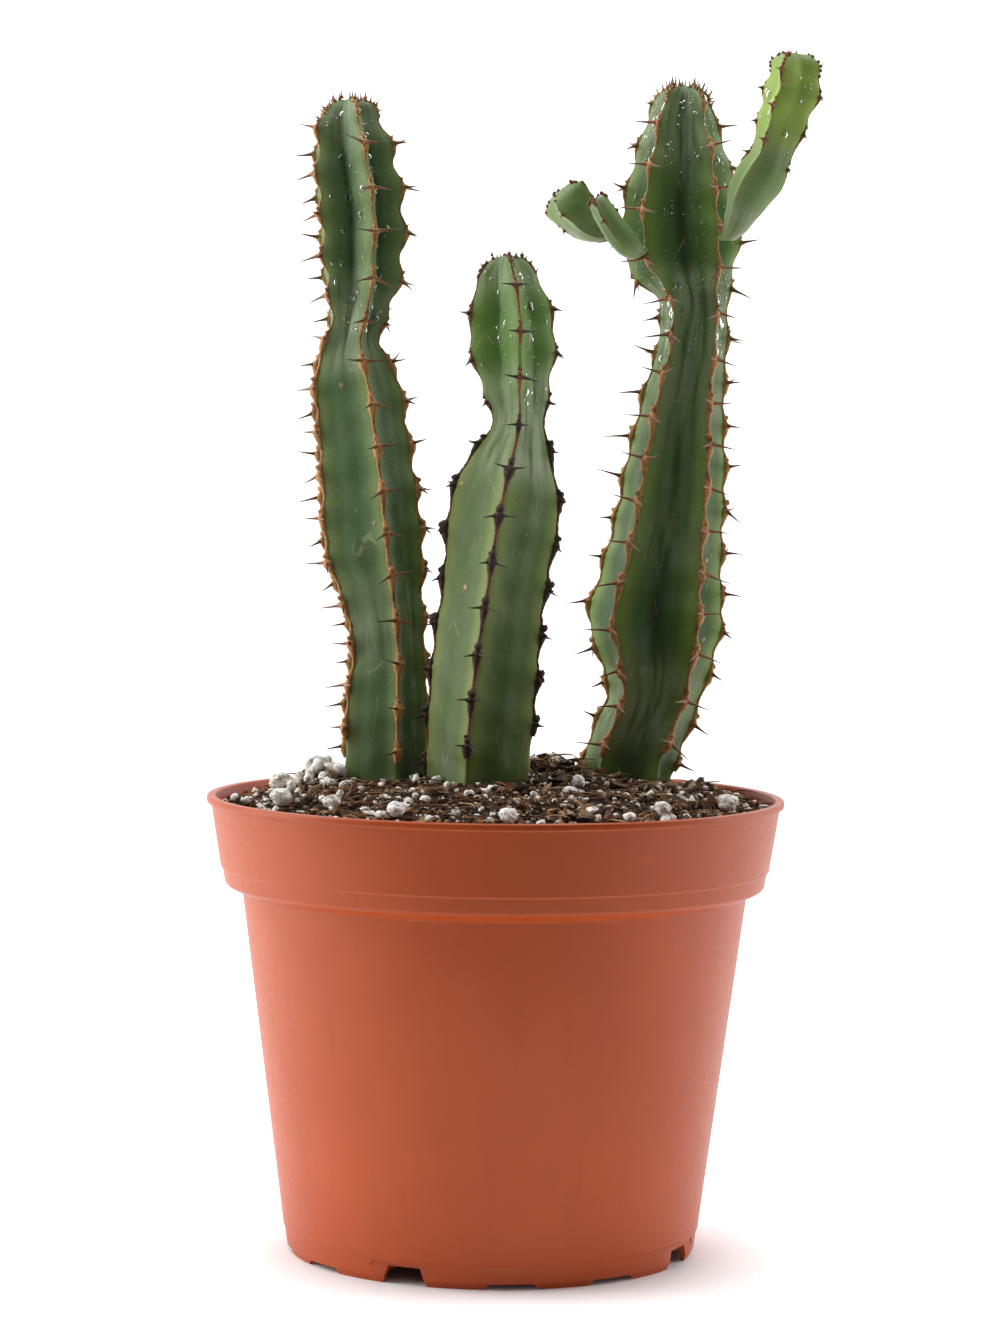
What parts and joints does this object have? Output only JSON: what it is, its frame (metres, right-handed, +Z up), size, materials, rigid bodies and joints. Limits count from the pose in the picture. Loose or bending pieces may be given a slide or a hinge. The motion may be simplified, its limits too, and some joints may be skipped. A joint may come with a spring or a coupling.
{
  "type": "potted euphorbia",
  "caption": "Ribbed, spiny succulent stems with young side branches growing in bark and perlite mix in a round tapered plastic nursery pot.",
  "frame": {"origin": "on the pot's axis, in the plane its foot ring and centre boss stand on", "axes": "+Z up; -Y towards the viewer of the plant's front; +X to that viewer's right"},
  "size_m": [0.1587, 0.15, 0.3115],
  "materials": {
    "terracotta_plastic": "satin",
    "potting_mix": "rough",
    "stem_skin": "waxy",
    "young_skin": "waxy",
    "horny_margin": "rough",
    "old_horny_margin": "rough",
    "perlite": "rough"
  },
  "bodies": {
    "root": {"branch_back": "young_skin", "branch_back_margin_1": "horny_margin", "branch_back_margin_2": "horny_margin", "branch_back_margin_3": "horny_margin", "branch_back_margin_4": "horny_margin", "branch_front": "young_skin", "branch_front_margin_1": "horny_margin", "branch_front_margin_2": "horny_margin", "branch_front_margin_3": "horny_margin", "branch_tall": "young_skin", "branch_tall_margin_1": "horny_margin", "branch_tall_margin_2": "horny_margin", "branch_tall_margin_3": "horny_margin", "branch_tall_margin_4": "horny_margin", "perlite_grain_1": "perlite", "perlite_grain_10": "perlite", "perlite_grain_2": "perlite", "perlite_grain_3": "perlite", "perlite_grain_4": "perlite", "perlite_grain_5": "perlite", "perlite_grain_6": "perlite", "perlite_grain_7": "perlite", "perlite_grain_8": "perlite", "perlite_grain_9": "perlite", "pot": "terracotta_plastic", "potting_mix": "potting_mix", "stem_left": "stem_skin", "stem_left_margin_1": "horny_margin", "stem_left_margin_2": "horny_margin", "stem_left_margin_3": "horny_margin", "stem_left_margin_4": "horny_margin", "stem_left_margin_5": "horny_margin", "stem_middle": "stem_skin", "stem_middle_margin_1": "old_horny_margin", "stem_middle_margin_2": "old_horny_margin", "stem_middle_margin_3": "old_horny_margin", "stem_middle_margin_4": "old_horny_margin", "stem_right": "stem_skin", "stem_right_margin_1": "horny_margin", "stem_right_margin_2": "horny_margin", "stem_right_margin_3": "horny_margin", "stem_right_margin_4": "horny_margin", "stem_right_margin_5": "horny_margin"}
  },
  "joints": []
}
